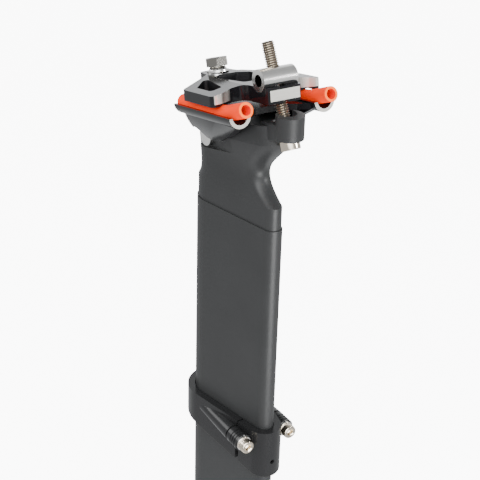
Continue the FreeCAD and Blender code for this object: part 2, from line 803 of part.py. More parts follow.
def sphere(name, radius, z):
    ball = doc.addObject("Part::Sphere", name)
    bind(ball, "Radius", radius)
    return place(ball, z=z)


def build_rear_ball_washer():
    """Domed washer, whose centre is the point that the rear bolt swings about."""
    ball = sphere("rear_ball", "ball_radius", "0 - rear_grip")
    below = cylinder("rear_ball_flat", "2 * ball_radius", "2 * ball_radius", "0", "0",
                     "0 - rear_grip - 2 * ball_radius")
    bore = cylinder("rear_ball_bore", "bolt_radius", "4 * ball_radius", "0", "0",
                    "0 - rear_grip - 2 * ball_radius")
    return finish(on_rear_bolt(cut("rear_washer", ball, below, bore)), "rear_ball_washer")


def side_prism(name, corners):
    """Solid with an outline seen from the side, wider than the collar."""
    sketch = place(polygon(name + "_sketch", corners), turn=AXIS_X, angle="90")
    return extrude(name, sketch, "40", "40")


def collar_block(name, back, front):
    """Outer block of the collar between two places along X, with its sloping underside."""
    outer = drop(name + "_outer", "0 - collar_gap - collar_wall", "-25", "collar_top + 25")
    side = side_prism(name + "_side", [(back, "(%s) * tan(collar_slope)" % back),
                                       (front, "(%s) * tan(collar_slope)" % front),
                                       (front, "collar_top"), (back, "collar_top")])
    return common(name + "_block", outer, side)


def collar_cuts(name):
    inner = drop(name + "_inner", "0 - collar_gap", "-26", "collar_top + 28")
    notch = box(name + "_notch", "0 - collar_split - notch_width / 2", "-30", "notch_top - 30",
                "notch_width", "60", "30")
    cuts = [inner, notch]
    for side in (-1, 1):
        out = "%d * lug_out" % side
        cuts.append(cylinder("%s_hole_%d" % (name, side), "small_bolt_radius", "small_bolt_length",
                             "0 - lug_rear - washer_height", out, "lug_height", AXIS_Y, "90"))
        cuts.append(cylinder("%s_spot_%d" % (name, side), "washer_radius + washer_room", "20",
                             "0 - lug_rear - 20", out, "lug_height", AXIS_Y, "90"))
    return cuts


def build_collar_front():
    split = "0 - collar_split + collar_slot / 2"
    reach = "lug_front + collar_split - collar_slot / 2"
    lugs = [cone("front_lug_%d" % side, "lug_radius", "lug_tip", reach, split, "%d * lug_out" % side,
                 "lug_height", AXIS_Y, "90") for side in (-1, 1)]
    solid = fuse("collar_front_solid", collar_block("collar_front", split, "50"), *lugs)
    return finish(cut("collar_front_body", solid, *collar_cuts("collar_front")), "collar_front")


def build_rear_lug(name, side):
    """Round lug behind the split, ribbed by three grooves."""
    out = "%d * lug_out" % side
    lug = cylinder(name, "lug_radius", "lug_rear - collar_split - collar_slot / 2", "0 - lug_rear", out,
                   "lug_height", AXIS_Y, "90")
    grooves = []
    for index in range(3):
        start = "0 - lug_rear + groove_start + %d * groove_step" % index
        sleeve = cylinder("%s_groove_%d" % (name, index), "lug_radius + 1", "groove_width", start, out,
                          "lug_height", AXIS_Y, "90")
        core = cylinder("%s_core_%d" % (name, index), "lug_radius - lug_groove", "2", start + " - 0.6", out,
                        "lug_height", AXIS_Y, "90")
        grooves.append(cut("%s_ring_%d" % (name, index), sleeve, core))
    return cut(name + "_ribbed", lug, *grooves)


def build_collar_rear():
    split = "0 - collar_split - collar_slot / 2"
    lugs = [build_rear_lug("rear_lug_%s" % label, side) for label, side in (("right", -1), ("left", 1))]
    solid = fuse("collar_rear_solid", collar_block("collar_rear", "-50", split), *lugs)
    cord = cylinder("cord_cut", "cord_hole", "30", "-60", "0", "cord_hole_height", AXIS_Y, "90")
    return finish(cut("collar_rear_body", solid, cord, *collar_cuts("collar_rear")), "collar_rear")


def build_collar_bolt(label, side):
    seat = "0 - lug_rear - washer_height"
    out = "%d * lug_out" % side
    shank = cylinder(label + "_shank", "small_bolt_radius", "small_bolt_length", seat, out, "lug_height",
                     AXIS_Y, "90")
    end = seat + " - small_head_height"
    head = cylinder(label + "_head", "small_head_radius", "small_head_height", end, out, "lug_height",
                    AXIS_Y, "90")
    key = cylinder(label + "_key", "small_key", "small_head_height * 0.6 + 1", end + " - 1", out,
                   "lug_height", AXIS_Y, "90")
    return finish(cut(label + "_body", fuse(label + "_solid", shank, head), key), label)


def build_collar_washer(label, side):
    start = "0 - lug_rear - washer_height"
    out = "%d * lug_out" % side
    ring = cylinder(label + "_ring", "washer_radius", "washer_height", start, out, "lug_height", AXIS_Y,
                    "90")
    bore = cylinder(label + "_bore", "small_bolt_radius", "washer_height + 2", start + " - 1", out,
                    "lug_height", AXIS_Y, "90")
    return finish(cut(label + "_body", ring, bore), label)


def build_all():
    return [
        build_lower_sleeve(),
        build_bushing("upper_bushing", "seam_height - %s - bushing_height" % MOUTH_DEPTH),
        build_bushing("lower_bushing", "lower_bushing_base"),
        build_dust_seal(),
        build_spring_base(),
        build_bump_stop(),
        build_preload_screw(),
        build_spring_seat("lower_spring_seat", "base_top + screw_rise"),
        build_main_spring(),
        build_spring_seat("upper_spring_seat", SPRING_TOP),
        build_guide_rod(),
        build_rod_ring("topout_bumper", "screw_radius - 1", SCREW_BASE + " - topout_height",
                       "topout_height"),
        build_rod_ring("topout_plate", "screw_radius - 0.6",
                       SCREW_BASE + " - topout_height - topout_washer", "topout_washer"),
        build_rod_nut(),
        build_upper_mast(),
        build_cradle(),
        build_yoke(),
        build_hose("left_rail_hose", 1),
        build_hose("right_rail_hose", -1),
        build_front_barrel_nut(),
        build_front_washer("front_dish_washer", "front_grip", "dish_radius", "dish_radius", "dish_height"),
        build_front_washer("front_cone_washer", "front_grip + dish_height", "cone_radius",
                           "cone_radius - 1.2", "cone_height"),
        build_front_clamp_bolt(),
        build_rear_barrel_nut(),
        build_rear_ball_washer(),
        build_rear_clamp_bolt(),
        build_collar_front(),
        build_collar_rear(),
        build_collar_washer("collar_left_washer", 1),
        build_collar_washer("collar_right_washer", -1),
        build_collar_bolt("collar_left_bolt", 1),
        build_collar_bolt("collar_right_bolt", -1),
    ]


def check(nodes):
    for thing in doc.Objects:
        if "Invalid" in thing.State or "Error" in thing.State:
            raise RuntimeError("%s did not build: %s" % (thing.Label, thing.State))
    for node in nodes:
        if node.Shape.isNull() or not node.Shape.isValid() or node.Shape.Volume < 0.1:
            raise RuntimeError("%s has no valid solid" % node.Label)


def main():
    fill_sheet()
    nodes = build_all()
    doc.recompute()
    check(nodes)
    os.makedirs("parts", exist_ok=True)
    for node in nodes:
        node.Shape.exportStep("parts/%s.step" % node.Label)


main()
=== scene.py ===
import json
import math

import bpy
from mathutils import Matrix, Vector


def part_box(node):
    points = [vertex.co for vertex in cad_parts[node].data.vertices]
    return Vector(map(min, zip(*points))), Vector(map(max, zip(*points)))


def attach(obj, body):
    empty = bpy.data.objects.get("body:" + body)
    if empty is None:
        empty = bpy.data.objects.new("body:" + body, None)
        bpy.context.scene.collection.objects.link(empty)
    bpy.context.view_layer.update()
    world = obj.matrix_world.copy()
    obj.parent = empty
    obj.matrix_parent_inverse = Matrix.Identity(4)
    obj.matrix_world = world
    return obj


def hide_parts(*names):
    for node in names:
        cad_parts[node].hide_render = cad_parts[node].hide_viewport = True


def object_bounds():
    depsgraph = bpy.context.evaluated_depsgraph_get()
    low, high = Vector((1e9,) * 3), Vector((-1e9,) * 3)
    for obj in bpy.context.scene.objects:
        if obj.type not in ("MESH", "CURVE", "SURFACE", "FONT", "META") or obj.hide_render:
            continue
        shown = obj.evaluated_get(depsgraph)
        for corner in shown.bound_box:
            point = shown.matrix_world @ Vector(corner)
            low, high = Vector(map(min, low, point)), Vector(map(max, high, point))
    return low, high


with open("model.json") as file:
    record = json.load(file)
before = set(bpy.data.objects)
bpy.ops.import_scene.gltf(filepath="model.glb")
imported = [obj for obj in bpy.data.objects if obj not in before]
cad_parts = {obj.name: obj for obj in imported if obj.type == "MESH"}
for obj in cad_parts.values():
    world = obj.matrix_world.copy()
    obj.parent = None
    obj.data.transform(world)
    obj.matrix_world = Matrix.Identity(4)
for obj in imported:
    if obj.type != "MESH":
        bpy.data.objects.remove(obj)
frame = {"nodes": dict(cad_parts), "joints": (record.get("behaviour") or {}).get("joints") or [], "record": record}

MM = 0.001
start_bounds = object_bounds()
nodes = frame["nodes"]
joints = {joint["name"]: joint for joint in frame["joints"]}
mounts = {mount["name"]: mount for mount in frame["record"]["mounts"]}


# ---------------------------------------------------------------- places taken from the frame

FORWARD = Vector(mounts["left_rail_clamp"]["axis"])      # along the saddle rails
LEFT = Vector((0, 1, 0))
UPWARD = FORWARD.cross(LEFT)                             # square to the rails
PIVOT = Vector(joints["saddle_tilt"]["pos_m"])           # centre of the front barrel nut
NUT = Vector(joints["rear_nut_swing"]["pos_m"])          # centre of the rear barrel nut
BALL = Vector(joints["rear_bolt_swing"]["pos_m"])        # centre of the ball washer
LEFT_RAIL = Vector(mounts["left_rail_clamp"]["pos_m"])
RIGHT_RAIL = Vector(mounts["right_rail_clamp"]["pos_m"])


def corners(node):
    return [vertex.co for vertex in nodes[node].data.vertices]


def span(node, origin, axis):
    """Lowest and highest place of a node along an axis, measured from origin."""
    places = [(corner - origin).dot(axis) for corner in corners(node)]
    return min(places), max(places)


def middle(node):
    low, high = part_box(node)
    return (low + high) / 2


def upright(origin, axis, ahead=FORWARD):
    """Frame with Z along axis, its origin at origin and X as near to ahead as it can be."""
    z = axis.normalized()
    y = z.cross(ahead).normalized()
    x = y.cross(z)
    turn = Matrix((x, y, z)).transposed().to_4x4()
    return Matrix.Translation(origin) @ turn


# ---------------------------------------------------------------- shader helpers

def material(name):
    mat = bpy.data.materials.new(name)
    mat.use_nodes = True
    return mat, mat.node_tree, mat.node_tree.nodes["Principled BSDF"]


def maths(tree, operation, first, second=None, clamp=False):
    node = tree.nodes.new("ShaderNodeMath")
    node.operation = operation
    node.use_clamp = clamp
    for socket, value in zip(node.inputs, (first, second)):
        if value is None:
            continue
        if isinstance(value, (int, float)):
            socket.default_value = value
        else:
            tree.links.new(value, socket)
    return node.outputs[0]


def along(tree, output, axis):
    """How far a point, or a normal, goes along an axis."""
    node = tree.nodes.new("ShaderNodeVectorMath")
    node.operation = "DOT_PRODUCT"
    node.inputs[1].default_value = axis
    tree.links.new(tree.nodes.new("ShaderNodeTexCoord").outputs[output], node.inputs[0])
    return node.outputs["Value"]


def soft_step(tree, value, edge, width):
    """0 below edge and 1 above it, over a soft width."""
    shifted = maths(tree, "SUBTRACT", value, edge - width / 2)
    return maths(tree, "DIVIDE", shifted, width, True)


def both(tree, *masks):
    product = masks[0]
    for mask in masks[1:]:
        product = maths(tree, "MULTIPLY", product, mask)
    return product


def inverse(tree, mask):
    return maths(tree, "SUBTRACT", 1.0, mask, True)


def ramp(tree, fac, low, high):
    """Map 0 to 1 onto low to high, each a number, a colour or a socket."""
    is_colour = hasattr(low, "__len__") or getattr(low, "type", "") == "RGBA"
    mix = tree.nodes.new("ShaderNodeMix")
    mix.data_type = "RGBA" if is_colour else "FLOAT"
    sockets = (mix.inputs[6], mix.inputs[7]) if is_colour else (mix.inputs[2], mix.inputs[3])
    for socket, value in zip(sockets, (low, high)):
        if isinstance(value, bpy.types.NodeSocket):
            tree.links.new(value, socket)
        else:
            socket.default_value = (*value, 1) if is_colour else value
    tree.links.new(fac, mix.inputs[0])
    return mix.outputs[2] if is_colour else mix.outputs[0]


def noise(tree, scale, detail=3.0, stretch=(1, 1, 1)):
    mapping = tree.nodes.new("ShaderNodeMapping")
    mapping.inputs["Scale"].default_value = stretch
    tree.links.new(tree.nodes.new("ShaderNodeTexCoord").outputs["Object"], mapping.inputs["Vector"])
    texture = tree.nodes.new("ShaderNodeTexNoise")
    texture.inputs["Scale"].default_value = scale
    texture.inputs["Detail"].default_value = detail
    tree.links.new(mapping.outputs["Vector"], texture.inputs["Vector"])
    return texture.outputs["Fac"]


def bump(tree, shader, height, strength, distance):
    node = tree.nodes.new("ShaderNodeBump")
    node.inputs["Distance"].default_value = distance
    if isinstance(strength, (int, float)):
        node.inputs["Strength"].default_value = strength
    else:
        tree.links.new(strength, node.inputs["Strength"])
    tree.links.new(height, node.inputs["Height"])
    tree.links.new(node.outputs["Normal"], shader.inputs["Normal"])


def shades(colour, low, high):
    return [channel * low for channel in colour], [min(1.0, channel * high) for channel in colour]


# ---------------------------------------------------------------- materials

COATED_SPECULAR = 0.34
MACHINED_SPECULAR = 0.36
GRAINY_ROUGHNESS = 0.42
BARE_ROUGHNESS = 0.36
BARE_METAL = (0.95, 0.91, 0.84)
# near-black painted inside the nut bores: painted shade
PAINTED_BORE_SHADE = (0.05, 0.045, 0.04)
ALONG_Y = (1, 0.05, 1)                 # noise drawn out into machining strokes


def satin_black(name, colour, rough, grain):
    """Bead-blasted and anodised metal: fine grain and an uneven, dusty sheen."""
    mat, tree, shader = material(name)
    coat = ramp(tree, noise(tree, 35, 5), *shades(colour, 0.82, 1.2))
    tree.links.new(coat, shader.inputs["Base Color"])
    sheen = ramp(tree, noise(tree, 180, 5), rough * 0.85, rough * 1.15)
    tree.links.new(sheen, shader.inputs["Roughness"])
    shader.inputs["Specular IOR Level"].default_value = COATED_SPECULAR
    bump(tree, shader, noise(tree, grain, 2), 0.22, 0.00003)
    return mat


def machined_black(name, colour, rough, bare, grainy):
    """Glossy black metal. bare(tree) masks faces machined after coating, grainy(tree) rough-cast walls."""
    mat, tree, shader = material(name)
    is_bare = bare(tree)
    is_grainy = grainy(tree)
    black = ramp(tree, noise(tree, 70, 4), *shades(colour, 0.75, 1.3))
    strokes = noise(tree, 2600, 3, ALONG_Y)
    metal = ramp(tree, strokes, *shades(BARE_METAL, 0.8, 1.08))
    tree.links.new(ramp(tree, is_bare, black, metal), shader.inputs["Base Color"])
    tree.links.new(is_bare, shader.inputs["Metallic"])
    gloss = ramp(tree, noise(tree, 260, 4), rough * 0.7, rough * 1.4)
    dull = ramp(tree, is_grainy, gloss, GRAINY_ROUGHNESS)
    tree.links.new(ramp(tree, is_bare, dull, BARE_ROUGHNESS), shader.inputs["Roughness"])
    height = ramp(tree, is_grainy, noise(tree, 1900, 2), noise(tree, 1100, 4))
    height = ramp(tree, is_bare, height, strokes)
    bump(tree, shader, height, ramp(tree, is_grainy, 0.07, 0.95), 0.0001)
    shader.inputs["Specular IOR Level"].default_value = MACHINED_SPECULAR
    return mat


def rear_facing(tree, share):
    """1 on faces that look to the rear, along the rails."""
    return soft_step(tree, along(tree, "Normal", -FORWARD), share, 0.1)


def behind(tree, place):
    """1 behind a place, measured in metres along the rails."""
    return soft_step(tree, along(tree, "Object", -FORWARD), -place, 0.0002)


def beyond(tree, axis, place):
    return soft_step(tree, along(tree, "Object", axis), place, 0.00015)


def nowhere(tree):
    return maths(tree, "MULTIPLY", along(tree, "Object", LEFT), 0.0)


YOKE_BACK = span("yoke", Vector(), FORWARD)[0]
YOKE_BASE, YOKE_TOP = span("yoke", Vector(), UPWARD)
CRADLE_BACK = span("cradle", Vector(), FORWARD)[0]
BORDER_BELOW = 1.2 * MM                # black border left along the machined walls
BORDER_ABOVE = 1.0 * MM
BLOCK_HALF = 7.6 * MM                  # half width of the rear block's bare wall
WING_BACK = 22.5 * MM                  # the wings' rear walls lie this far ahead of the block's
WING_INNER = 19.5 * MM
WING_OUTER = 27.2 * MM
WINDOW_HALF = 24.5 * MM
WINDOW_BACK = 22.6 * MM
WINDOW_FRONT = 50 * MM
CRADLE_GRAIN = 8 * MM                  # the cradle is rough further ahead than this
NUT_BORE_RADIUS = 2.75 * MM
NUT_BORE_END = 8.6 * MM
NUT_BORE_FLOOR = 3.2 * MM


def yoke_bare(tree):
    """The rear walls were machined after coating, which leaves a thin black border around them."""
    across = maths(tree, "ABSOLUTE", along(tree, "Object", LEFT))
    in_height = both(tree, beyond(tree, UPWARD, YOKE_BASE + BORDER_BELOW),
                     inverse(tree, beyond(tree, UPWARD, YOKE_TOP - BORDER_ABOVE)))
    block = both(tree, behind(tree, YOKE_BACK + 0.3 * MM),
                 inverse(tree, soft_step(tree, across, BLOCK_HALF, 0.1 * MM)))
    wing = both(tree, behind(tree, YOKE_BACK + WING_BACK), soft_step(tree, across, WING_INNER, 5 * MM),
                inverse(tree, soft_step(tree, across, WING_OUTER, 0.4 * MM)))
    return both(tree, rear_facing(tree, 0.45), in_height, maths(tree, "MAXIMUM", block, wing))


def yoke_grainy(tree):
    """The walls inside the windows are left rough."""
    across = maths(tree, "ABSOLUTE", along(tree, "Object", LEFT))
    level = maths(tree, "ABSOLUTE", along(tree, "Normal", UPWARD))
    upright_wall = inverse(tree, soft_step(tree, level, 0.5, 0.2))
    inside = both(tree, inverse(tree, behind(tree, YOKE_BACK + WINDOW_BACK)),
                  behind(tree, YOKE_BACK + WINDOW_FRONT),
                  inverse(tree, soft_step(tree, across, WINDOW_HALF, 0.2 * MM)))
    return both(tree, upright_wall, inside)


def cradle_bare(tree):
    return both(tree, rear_facing(tree, 0.8), behind(tree, CRADLE_BACK + 0.4 * MM))


def cradle_grainy(tree):
    return both(tree, rear_facing(tree, 0.3), inverse(tree, behind(tree, CRADLE_BACK + CRADLE_GRAIN)))


def nut_bore_shade_mask(tree):
    """1 inside the holes in the ends of the rear barrel nut, where painted shade goes."""
    ahead = maths(tree, "SUBTRACT", along(tree, "Object", FORWARD), NUT.dot(FORWARD))
    above = maths(tree, "SUBTRACT", along(tree, "Object", UPWARD), NUT.dot(UPWARD))
    reach = maths(tree, "SQRT", maths(tree, "ADD", maths(tree, "POWER", ahead, 2.0),
                                      maths(tree, "POWER", above, 2.0)))
    across = maths(tree, "ABSOLUTE", along(tree, "Object", LEFT))
    return both(tree, inverse(tree, soft_step(tree, reach, NUT_BORE_RADIUS, 0.1 * MM)),
                inverse(tree, soft_step(tree, across, NUT_BORE_END, 0.3 * MM)),
                soft_step(tree, across, NUT_BORE_FLOOR, 0.1 * MM))


def polished(name, colour, rough, scratch=0.1, stretch=(1, 1, 1), dark=nowhere):
    """Turned or polished metal with hairline marks. dark(tree) masks holes painted near-black as painted shade."""
    mat, tree, shader = material(name)
    shader.inputs["Metallic"].default_value = 1.0
    marks = noise(tree, 1500, 5, stretch)
    metal = ramp(tree, marks, *shades(colour, 0.94, 1.05))
    tree.links.new(ramp(tree, dark(tree), metal, PAINTED_BORE_SHADE), shader.inputs["Base Color"])
    worn = ramp(tree, noise(tree, 420, 5), rough * 0.85, rough * 1.2)
    tree.links.new(worn, shader.inputs["Roughness"])
    bump(tree, shader, marks, scratch, 0.00002)
    return mat


def soft_plastic(name, colour, rough, scatter, grain=900, glow=0.0):
    """Moulded rubber or plastic. glow stands in for the light that passes through a translucent wall."""
    mat, tree, shader = material(name)
    shader.inputs["Specular IOR Level"].default_value = 0.06
    shader.inputs["Emission Color"].default_value = (*colour, 1)
    shader.inputs["Emission Strength"].default_value = glow
    tint = ramp(tree, noise(tree, 120, 4), *shades(colour, 0.88, 1.06))
    tree.links.new(tint, shader.inputs["Base Color"])
    matt = ramp(tree, noise(tree, 500, 3), rough * 0.8, rough * 1.2)
    tree.links.new(matt, shader.inputs["Roughness"])
    shader.inputs["Subsurface Weight"].default_value = scatter
    shader.inputs["Subsurface Radius"].default_value = (1.0, 0.25, 0.08)
    shader.inputs["Subsurface Scale"].default_value = 0.0015
    bump(tree, shader, noise(tree, grain, 2), 0.06, 0.00005)
    return mat


MATERIALS = {
    "post_black": satin_black("post black", (0.022, 0.0225, 0.023), 0.42, 2600),
    "clamp_black": machined_black("clamp black", (0.006, 0.006, 0.007), 0.14, nowhere, nowhere),
    "collar_black": satin_black("collar black", (0.012, 0.012, 0.0125), 0.2, 3400),
    "polished_steel": polished("polished steel", (0.97, 0.95, 0.92), 0.2, 0.08, ALONG_Y, nut_bore_shade_mask),
    "bolt_steel": polished("bolt steel", (0.74, 0.66, 0.54), 0.12),
    "plain_alloy": polished("plain alloy", (0.72, 0.73, 0.74), 0.3),
    "spring_steel": polished("spring steel", (0.16, 0.16, 0.17), 0.38),
    "bushing": soft_plastic("bushing", (0.70, 0.67, 0.58), 0.4, 0.05),
    "elastomer": soft_plastic("elastomer", (0.55, 0.12, 0.03), 0.35, 0.2),
    "seal_rubber": soft_plastic("seal rubber", (0.018, 0.018, 0.019), 0.6, 0.0),
    "orange_hose": soft_plastic("orange hose", (1.0, 0.04, 0.0003), 0.55, 0.0, glow=0.22),
}
# darkened copy of the bolt steel for the hex head: painted shade
SHADED_HEX_STEEL = polished("hex head painted shade steel", (0.27, 0.26, 0.24), 0.2, 0.02)
# darker, deeper red inside the hose: painted shade
HOSE_BORE_PAINTED_SHADE = soft_plastic("hose bore painted shade", (0.85, 0.016, 0.0003), 0.7, 0.0, glow=0.05)
# paler orange and stronger glow on the hose cut ends: painted light
HOSE_END_PAINTED_LIGHT = soft_plastic("hose cut end painted light", (1.0, 0.15, 0.02), 0.6, 0.0, glow=0.4)
# dark brown for the thread valleys: painted shade in the grooves
THREAD_VALLEY_SHADE = satin_black("thread valley painted shade", (0.06, 0.046, 0.034), 0.35, 3000)
YOKE_FINISH = machined_black("yoke black", (0.006, 0.006, 0.007), 0.12, yoke_bare, yoke_grainy)
CRADLE_FINISH = machined_black("cradle black", (0.006, 0.006, 0.007), 0.16, cradle_bare, cradle_grainy)

slot_of = {row["node"]: row["material_slot"] for row in frame["record"]["subparts"]}
BEVELS = {"yoke": 1.2 * MM, "cradle": 0.6 * MM, "collar_front": 1.0 * MM, "collar_rear": 1.0 * MM,
          "lower_sleeve": 0.12 * MM, "upper_mast": 0.5 * MM, "rear_barrel_nut": 0.35 * MM}
PLAIN_BEVEL = 0.2 * MM
OWN_FINISH = {"yoke": YOKE_FINISH, "cradle": CRADLE_FINISH}
SHARP_ANGLE = math.radians(38)         # edges that turn by more than this stay crisp


def finish_node(name, node):
    """Give a CAD node its finish, smooth faces and softly broken edges."""
    node.data.materials.clear()
    node.data.materials.append(OWN_FINISH.get(name, MATERIALS[slot_of[name]]))
    node.data.polygons.foreach_set("use_smooth", [True] * len(node.data.polygons))
    bevel = node.modifiers.new("broken edges", "BEVEL")
    bevel.width = BEVELS.get(name, PLAIN_BEVEL)
    bevel.segments = 3
    bevel.limit_method = "ANGLE"
    bevel.angle_limit = SHARP_ANGLE
    bevel.harden_normals = True


for node_name, cad_node in nodes.items():
    finish_node(node_name, cad_node)


# ---------------------------------------------------------------- meshes

def new_mesh(name, points, faces, place=Matrix()):
    mesh = bpy.data.meshes.new(name)
    mesh.from_pydata(points, [], faces)
    mesh.transform(place)
    mesh.polygons.foreach_set("use_smooth", [True] * len(mesh.polygons))
    mesh.set_sharp_from_angle(angle=SHARP_ANGLE)
    mesh.update()
    piece = bpy.data.objects.new(name, mesh)
    bpy.context.scene.collection.objects.link(piece)
    return piece


def turned(name, rings, place, segments=48):
    """Closed solid around Z. A ring is a radius and a height; the radius may be a function of the angle."""
    points = []
    for radius, height in rings:
        for index in range(segments):
            angle = math.tau * index / segments
            reach = radius(angle) if callable(radius) else radius
            points.append((reach * math.cos(angle), reach * math.sin(angle), height))
    faces = []
    for ring in range(len(rings) - 1):
        for index in range(segments):
            after = (index + 1) % segments
            low, high = ring * segments, (ring + 1) * segments
            faces.append((low + index, low + after, high + after, high + index))
    last = (len(rings) - 1) * segments
    faces.append(tuple(reversed(range(segments))))
    faces.append(tuple(last + index for index in range(segments)))
    return new_mesh(name, points, faces, place)


def dress(piece, body, slot, *replaced):
    piece.data.materials.append(MATERIALS[slot])
    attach(piece, body)
    if replaced:
        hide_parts(*replaced)
    return piece


def hexagon(width, turn=0.0):
    """Radius of a hexagon of a width across its flats, as a function of the angle."""
    sector = math.tau / 6
    return lambda angle: width / 2 / math.cos((angle - turn) % sector - sector / 2)


def thread_rings(radius, depth, pitch, low, high, chamfer, steps=10):
    """Rings of a helical thread between two heights, with chamfered ends."""
    count = int((high - low) / pitch * steps)
    rings = []
    for index in range(count + 1):
        height = low + (high - low) * index / count
        limit = radius - max(0.0, chamfer - (height - low), chamfer - (high - height))

        def reach(angle, height=height, limit=limit):
            phase = (height / pitch - angle / math.tau) % 1.0
            groove = min(1.0, max(0.0, 1.25 - 2.5 * abs(phase - 0.5) * 1.1))
            return min(limit, radius - depth * groove)

        rings.append((reach, height))
    return rings


def threaded(name, rings, place, axis, valley):
    """Threaded rod whose valleys, nearer to the axis than valley, are painted dark brown as painted shade in the
    grooves.
    """
    rod = turned(name, rings, place, 40)
    for face in rod.data.polygons:
        arm = face.center - place.translation
        # faces in the thread valleys take the second slot, the painted shade
        if (arm - axis * arm.dot(axis)).length < valley:
            face.material_index = 1
    return rod


def socket(width, mouth, floor, chamfer):
    """Rings that go down into a hexagon socket."""
    return [(width * 0.62 + chamfer, mouth), (hexagon(width), mouth - chamfer), (hexagon(width), floor),
            (0.0002, floor - width * 0.2)]


def rounded_rim(radius, low, high, edge, steps=4):
    """Rings of a cylinder whose top edge is rounded."""
    rings = [(radius, low)]
    for index in range(steps + 1):
        angle = math.pi / 2 * index / steps
        rings.append((radius - edge * (1 - math.cos(angle)), high - edge * (1 - math.sin(angle))))
    return rings


# ---------------------------------------------------------------- clamp bolts

M6_RADIUS = 2.95 * MM
M6_PITCH = 1.0 * MM
M6_DEPTH = 0.6 * MM
M6_VALLEY = 2.65 * MM
CAP_HEIGHT = 4.6 * MM
CAP_RADIUS = 4.5 * MM
CAP_SOCKET = 4.6 * MM
HEX_WIDTH = 10 * MM
HEX_HEIGHT = 4.2 * MM
HEX_CHAMFER = 0.9 * MM
HEX_CHAMFER_STEPS = 6
PLAIN_SHANK = 3.5 * MM
THREAD_RUNOUT = 0.5 * MM


def rear_bolt():
    """Stud through the rear barrel nut, with a socket cap under the head of the post."""
    axis = (NUT - BALL).normalized()
    low, high = span("rear_clamp_bolt", BALL, axis)
    stud = thread_rings(M6_RADIUS, M6_DEPTH, M6_PITCH, low + CAP_HEIGHT, high, 0.5 * MM)
    rod = threaded("rear_bolt_stud", stud, upright(BALL, axis), axis, M6_VALLEY)
    dress(rod, "rear_bolt", "bolt_steel", "rear_clamp_bolt").data.materials.append(THREAD_VALLEY_SHADE)
    down = upright(BALL + axis * (low + CAP_HEIGHT), -axis)
    cap = rounded_rim(CAP_RADIUS, 0.0, CAP_HEIGHT, 0.5 * MM)
    cap += socket(CAP_SOCKET, CAP_HEIGHT, CAP_HEIGHT * 0.4, 0.3 * MM)
    dress(turned("rear_bolt_cap", cap, down), "rear_bolt", "bolt_steel")


def front_bolt():
    """Hexagon bolt that comes down through the yoke into the front barrel nut."""
    axis = (middle("front_dish_washer") - PIVOT).normalized()
    low, high = span("front_clamp_bolt", PIVOT, axis)
    place = upright(PIVOT, axis, LEFT)
    under = high - HEX_HEIGHT
    shank = thread_rings(M6_RADIUS, M6_DEPTH, M6_PITCH, low,
                         under - PLAIN_SHANK - THREAD_RUNOUT, 0.5 * MM)
    shank.append((M6_RADIUS, under - PLAIN_SHANK))
    shank.append((M6_RADIUS, under))
    rod = threaded("front_bolt_shank", shank, place, axis, M6_VALLEY)
    dress(rod, "clamp", "bolt_steel", "front_clamp_bolt").data.materials.append(THREAD_VALLEY_SHADE)
    flat = hexagon(HEX_WIDTH)
    rim = HEX_WIDTH / 2 * 0.97
    head = [(rim, under), (rim, under + 0.25 * MM), (flat, under + 0.3 * MM)]
    for index in range(HEX_CHAMFER_STEPS + 1):
        height = high - HEX_CHAMFER * (1 - index / HEX_CHAMFER_STEPS)
        limit = rim + (high - height) * 1.75
        head.append((lambda angle, limit=limit: min(flat(angle), limit), height))
    head += [(rim - 0.5 * MM, high), (rim - 0.9 * MM, high - 0.15 * MM)]
    hex_head = turned("front_bolt_hex", head, place, 72)
    # the hex head takes the darkened steel copy, painted shade
    dress(hex_head, "clamp", "bolt_steel").data.materials[0] = SHADED_HEX_STEEL


rear_bolt()
front_bolt()


# ---------------------------------------------------------------- collar bolts

SMALL_HEAD_HEIGHT = 4.0 * MM
SMALL_HEAD_RADIUS = 3.5 * MM
SMALL_RADIUS = 1.95 * MM
SMALL_SOCKET = 3.3 * MM
KNURL_DEPTH = 0.12 * MM


def knurl(radius, count=24):
    """Radius of a fluted head, as a function of the angle."""
    return lambda angle: radius - KNURL_DEPTH * (0.5 + 0.5 * math.cos(count * angle))


def collar_bolt(side):
    """Socket cap screw that draws the two halves of the collar together."""
    node = "collar_%s_bolt" % side
    low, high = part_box(node)
    centre = (low + high) / 2
    seat = Vector((low.x + SMALL_HEAD_HEIGHT, centre.y, centre.z))
    place = upright(seat, Vector((-1, 0, 0)), UPWARD)
    grip = knurl(SMALL_HEAD_RADIUS)
    smooth = SMALL_HEAD_RADIUS - KNURL_DEPTH
    rings = [(SMALL_RADIUS, -(high.x - seat.x)), (SMALL_RADIUS, -0.05 * MM),
             (smooth, 0.0), (grip, 0.2 * MM),
             (grip, SMALL_HEAD_HEIGHT - 0.9 * MM), (smooth, SMALL_HEAD_HEIGHT - 0.75 * MM)]
    rings += rounded_rim(smooth, SMALL_HEAD_HEIGHT - 0.7 * MM, SMALL_HEAD_HEIGHT, 0.45 * MM)
    rings += socket(SMALL_SOCKET, SMALL_HEAD_HEIGHT, SMALL_HEAD_HEIGHT * 0.42, 0.25 * MM)
    dress(turned(node + "_screw", rings, place, 96), "collar", "bolt_steel", node)


for collar_side in ("left", "right"):
    collar_bolt(collar_side)


# ---------------------------------------------------------------- rail hoses

HOSE_RADIUS = 3.5 * MM
HOSE_BORE = 2.3 * MM
HOSE_RINGS = 60
HOSE_SEGMENTS = 40
HOSE_BEND_START = -13.0 * MM           # measured forward from the middle of the rail clamp
HOSE_BEND_LENGTH = 7.0 * MM
HOSE_RISE = math.tan(math.radians(13))
PINCH_BEHIND = 1.5 * MM                # the pinch ends this far behind the start of the bend
PINCH_AHEAD = 18 * MM
PINCH_FADE_BEHIND = 1.6 * MM
PINCH_FADE_AHEAD = 1.2 * MM
PINCH_DROP = 0.12 * MM
PINCH_FLATTER = 0.09
PINCH_WIDER = 0.02


